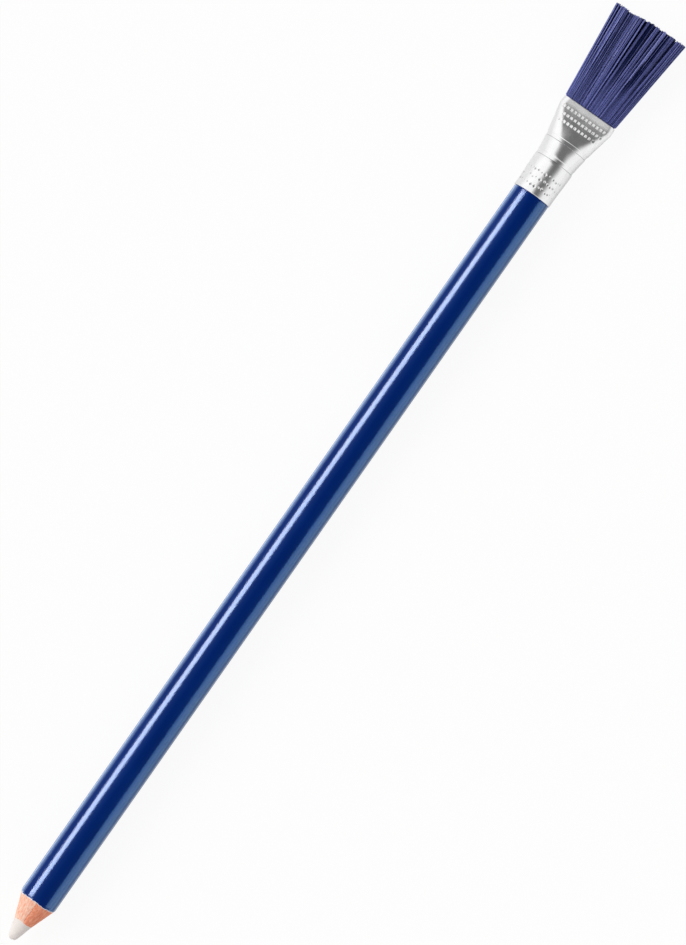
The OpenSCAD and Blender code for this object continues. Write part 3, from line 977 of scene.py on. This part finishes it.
def studio_floor():
    """White floor that glows a little, so that only the shadow at the pencil shows on it."""
    mesh = bpy.data.meshes.new("floor")
    corners = ((-1, -1), (1, -1), (1, 1), (-1, 1))
    points = [(x * FLOOR_HALF, y * FLOOR_HALF, 0) for x, y in corners]
    mesh.from_pydata(points, [], [(0, 1, 2, 3)])
    floor = bpy.data.objects.new("floor", mesh)
    bpy.context.scene.collection.objects.link(floor)
    shader = Shader("floor")
    shader.set(base_color=FLOOR_WHITE, roughness=0.9, specular_ior_level=0.0)
    path = shader.node("ShaderNodeLightPath").outputs
    seen = shader.calculate("MULTIPLY", path["Is Camera Ray"], FLOOR_GLOW)
    mirrored = shader.calculate("MAXIMUM", path["Is Glossy Ray"], path["Is Transmission Ray"])
    mirrored = shader.calculate("MULTIPLY", mirrored, MIRRORED_GLOW)
    share = shader.calculate("MAXIMUM", seen, mirrored)
    glow = shader.node("ShaderNodeEmission", {"Color": WHITE, "Strength": 1.0})
    mixed = shader.blend(share, shader.surface.outputs[0], glow.outputs[0])
    shader.put(shader.tree.nodes["Material Output"].inputs["Surface"], mixed)
    mesh.materials.append(shader.material)


def studio_key():
    """Soft sun from the photograph's left, which no surface mirrors."""
    data = bpy.data.lights.new("key", "SUN")
    data.energy = KEY_LEVEL * math.pi
    data.angle = KEY_SPREAD
    key = bpy.data.objects.new("key", data)
    key.rotation_euler = (-KEY_TILT, 0, 0)
    key.visible_glossy = False
    bpy.context.scene.collection.objects.link(key)


def strip_lamp(name, length, width, level, colour, place, tilt, receivers):
    """A long lamp along the pencil whose brightness is a level, mirrored by its receivers only."""
    data = bpy.data.lights.new(name, "AREA")
    data.shape = "RECTANGLE"
    data.size = length
    data.size_y = width
    data.color = colour
    # A lamp's radiance is its power over pi times its area
    data.energy = level * math.pi * data.size * data.size_y
    strip = bpy.data.objects.new(name, data)
    strip.location = place
    strip.rotation_euler = (tilt, 0, 0)
    strip.visible_diffuse = False
    strip.visible_camera = False
    strip.light_linking.receiver_collection = receivers
    bpy.context.scene.collection.objects.link(strip)


def studio_strips(lacquered):
    """Long lamps and bright strips of floor that show as the highlights on the lacquer."""
    receivers = bpy.data.collections.new("lacquered")
    receivers.objects.link(lacquered)
    for number, (angle, width, level, colour) in enumerate(STRIPS):
        tilt = math.radians(angle)
        y, z = -STRIP_DISTANCE * math.sin(tilt), axis_z + STRIP_DISTANCE * math.cos(tilt)
        span = 2 * STRIP_DISTANCE * math.tan(math.radians(width) / 2)
        for stretch, (along, length, share) in enumerate(STRIP_STRETCHES):
            name = f"strip_{number}_{stretch}"
            strip_lamp(name, length, span, level * share, colour, (along, y, z), tilt, receivers)
    for number, (near, far, level, colour) in enumerate(FLOOR_STRIPS):
        name = f"floor_strip_{number}"
        width = abs(far - near)
        place = (0, (near + far) / 2, FLOOR_STRIP_LIFT)
        strip_lamp(name, FLOOR_STRIP_LENGTH, width, level, colour, place, math.pi, receivers)


def studio_world():
    """White behind the object, even fill on plain surfaces, and soft boxes in reflections."""
    world = bpy.data.worlds.new("studio")
    world.use_nodes = True
    bpy.context.scene.world = world
    world.node_tree.nodes.clear()
    nodes = Nodes(world.node_tree)
    calculate = nodes.calculate

    def rise(value, low_high, start=0.0, end=1.0):
        """A smooth change from start to end between two angles in degrees."""
        low, high = np.radians(low_high)
        return nodes.node("ShaderNodeMapRange", {0: value, 1: low, 2: high, 3: start, 4: end},
                          interpolation_type="SMOOTHSTEP").outputs[0]

    def background(strength, colour=WHITE):
        made = nodes.node("ShaderNodeBackground", {"Color": colour, "Strength": strength})
        return made.outputs[0]

    towards = nodes.node("ShaderNodeTexCoord").outputs["Generated"]
    towards = nodes.node("ShaderNodeSeparateXYZ", {0: towards}).outputs
    across = calculate("ARCTAN2", calculate("MULTIPLY", towards["Y"], -1.0), towards["Z"])
    along = calculate("ARCTAN2", towards["X"], towards["Z"])
    slope = calculate("ARCSINE", calculate("ABSOLUTE", towards["X"]))

    whole_turn = {0: across, 1: -math.pi, 2: math.pi, 3: 0.0, 4: 1.0}
    place = nodes.node("ShaderNodeMapRange", whole_turn).outputs[0]
    brightest = max(level for _, level in STUDIO)
    stops = [((angle + 180) / 360, level / brightest) for angle, level in STUDIO]
    boxes = nodes.ramp(place, *stops)
    reach = rise(along, CARD_REACH_ALONG, 0.0, math.radians(CARD_REACH))
    left = rise(calculate("ADD", across, reach), CARD_LEFT)
    right = rise(across, CARD_RIGHT, 1.0, 0.0)
    sides = calculate("MULTIPLY", left, right)
    faded = calculate("POWER", calculate("SUBTRACT", 1.0, sides), CARD_FALLOFF)
    kept = rise(along, CARD_END_ALONG, CARD_END_SHARE, 1.0)
    card = calculate("MULTIPLY", calculate("SUBTRACT", 1.0, faded), kept)
    shaded = calculate("MAXIMUM", card, rise(slope, END_SLOPE, 0.0, END_DIMMING))

    # The soft boxes show only where the camera sees them mirrored, so that the ferrule throws
    # no light on the floor
    path = nodes.node("ShaderNodeLightPath").outputs
    direct = calculate("SUBTRACT", 1.0, calculate("MINIMUM", path["Diffuse Depth"], 1.0))
    mirrored = calculate("MULTIPLY", path["Is Glossy Ray"], direct)
    room = nodes.blend(shaded, background(brightest, boxes), background(CARD_LEVEL))
    lit = nodes.blend(mirrored, background(FILL_LEVEL), room)
    seen = nodes.blend(path["Is Camera Ray"], lit, background(1.0))
    nodes.node("ShaderNodeOutputWorld", {"Surface": seen})


studio_camera()
studio_floor()
studio_key()
studio_world()
bpy.context.scene.view_settings.view_transform = "Standard"

eraser_tip(rubber())
casing_slat("left", -SEAM_TURN, wood("slat_left_wood", *LEFT_WOOD))
casing_slat("right", math.pi - SEAM_TURN, wood("slat_right_wood", *RIGHT_WOOD))
studio_strips(barrel_lacquer(lacquer()))
ferrule_sleeve(metal())
bristles = bristle()
brush_bristles(bristles)
bristle_root(bristles)
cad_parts["adhesive_plug"].material_slots[0].material = resin()
